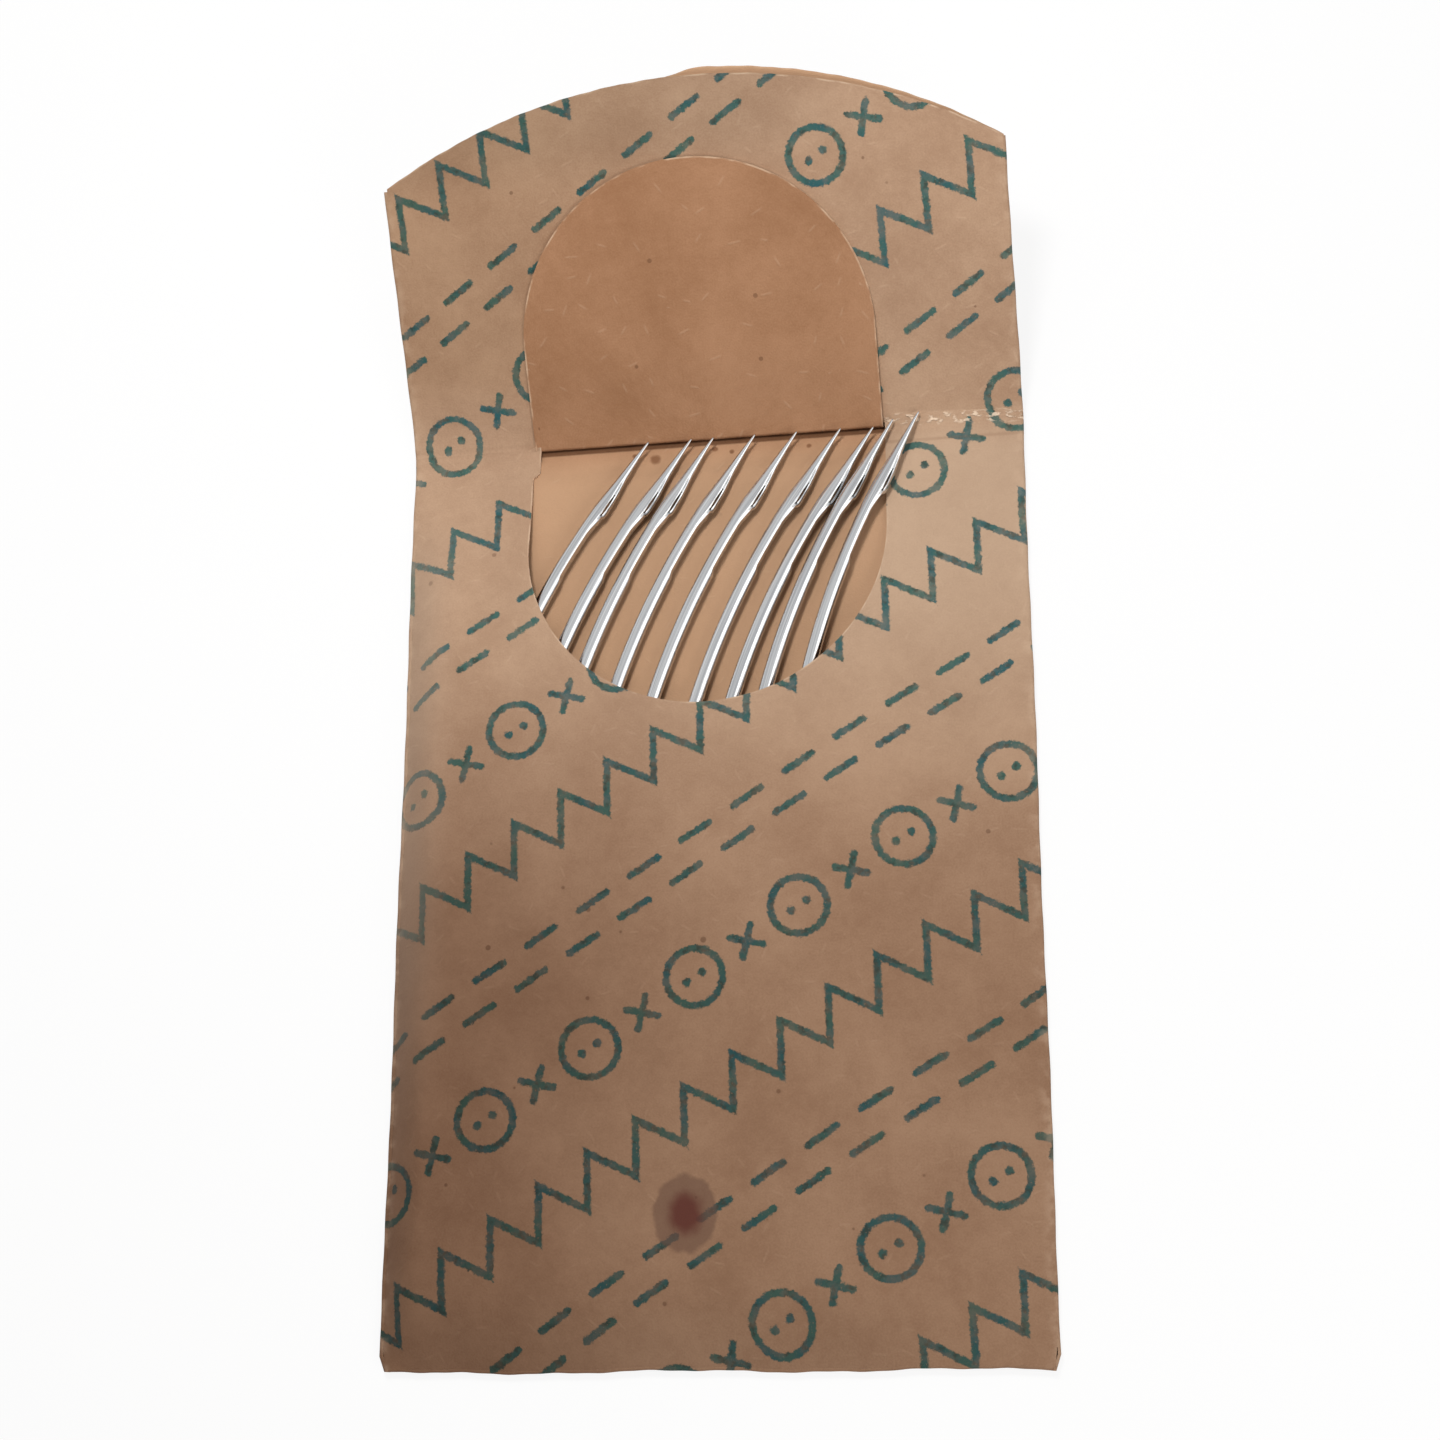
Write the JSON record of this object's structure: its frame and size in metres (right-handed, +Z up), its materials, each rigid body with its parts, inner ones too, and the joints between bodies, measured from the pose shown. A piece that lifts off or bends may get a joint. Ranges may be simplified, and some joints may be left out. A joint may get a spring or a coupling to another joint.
{
  "type": "packet of curved sewing machine needles",
  "caption": "Flat kraft paper packet with a raised closing flap and a turned-up thumb tab, holding loose curved steel sewing machine needles that show through its thumb window.",
  "frame": {"origin": "middle of the back panel's underside, on the surface that the packet lies on", "axes": "+Y along the packet to its flap, +Z up out of the back panel, +X to the right as the front is read"},
  "size_m": [0.036, 0.0708, 0.0111],
  "materials": {
    "printed_kraft": "matt kraft with a printed pattern, scuffed",
    "bare_kraft": "matt unprinted kraft",
    "needle_steel": "bright plated steel, polished along its length"
  },
  "bodies": {
    "pocket": {"back_panel": "bare_kraft", "front_panel": "printed_kraft", "left_side_fold": "printed_kraft", "right_side_fold": "printed_kraft", "bottom_fold": "printed_kraft", "side_glue_lap": "printed_kraft", "bottom_glue_lap": "printed_kraft"},
    "flap": {"flap_front": "printed_kraft", "flap_back": "printed_kraft", "flap_left_fold": "printed_kraft", "flap_right_fold": "printed_kraft", "flap_glue_lap": "printed_kraft"},
    "tab": {"thumb_tab": "bare_kraft"},
    "needle_01": {"needle_01": "needle_steel"},
    "needle_02": {"needle_02": "needle_steel"},
    "needle_03": {"needle_03": "needle_steel"},
    "needle_04": {"needle_04": "needle_steel"},
    "needle_05": {"needle_05": "needle_steel"},
    "needle_06": {"needle_06": "needle_steel"},
    "needle_07": {"needle_07": "needle_steel"},
    "needle_08": {"needle_08": "needle_steel"},
    "needle_09": {"needle_09": "needle_steel"}
  },
  "joints": [
    {"name": "flap_fold", "type": "hinge", "parent": "pocket", "child": "flap", "pos_m": [0, 0.02625, 0.001], "axis": [1, 0, 0], "range_deg": [-31, 140]},
    {"name": "tab_fold", "type": "hinge", "parent": "flap", "child": "tab", "pos_m": [0, 0.02625, 0.001], "axis": [-1, 0, 0], "range_deg": [-140, 0]},
    {"name": "needle_01_slide", "type": "hinge", "parent": "pocket", "child": "needle_01", "pos_m": [0.03186, -0.00473, 0.0011], "axis": [0, 0.0073, 1], "range_deg": [0, 4]},
    {"name": "needle_02_slide", "type": "hinge", "parent": "pocket", "child": "needle_02", "pos_m": [0.03452, -0.00461, 0.0011], "axis": [0, 0.0073, 1], "range_deg": [0, 4]},
    {"name": "needle_03_slide", "type": "hinge", "parent": "pocket", "child": "needle_03", "pos_m": [0.03672, -0.00354, 0.00109], "axis": [0, 0.0072, 1], "range_deg": [0, 4]},
    {"name": "needle_04_slide", "type": "hinge", "parent": "pocket", "child": "needle_04", "pos_m": [0.03901, -0.00373, 0.00109], "axis": [0, 0.0072, 1], "range_deg": [0, 4]},
    {"name": "needle_05_slide", "type": "hinge", "parent": "pocket", "child": "needle_05", "pos_m": [0.04136, -0.00386, 0.00109], "axis": [0, 0.0072, 1], "range_deg": [0, 4]},
    {"name": "needle_06_slide", "type": "hinge", "parent": "pocket", "child": "needle_06", "pos_m": [0.04391, -0.00386, 0.00109], "axis": [0, 0.0072, 1], "range_deg": [0, 4]},
    {"name": "needle_07_slide", "type": "hinge", "parent": "pocket", "child": "needle_07", "pos_m": [0.04607, -0.00359, 0.00109], "axis": [0, 0.0072, 1], "range_deg": [0, 4]},
    {"name": "needle_08_slide", "type": "hinge", "parent": "pocket", "child": "needle_08", "pos_m": [0.04838, -0.00175, 0.00107], "axis": [0, 0.0044, 1], "range_deg": [0, 4]},
    {"name": "needle_09_slide", "type": "hinge", "parent": "pocket", "child": "needle_09", "pos_m": [0.05108, 0.00022, 0.00108], "axis": [0, -0.0007, 1], "range_deg": [0, 4]}
  ]
}
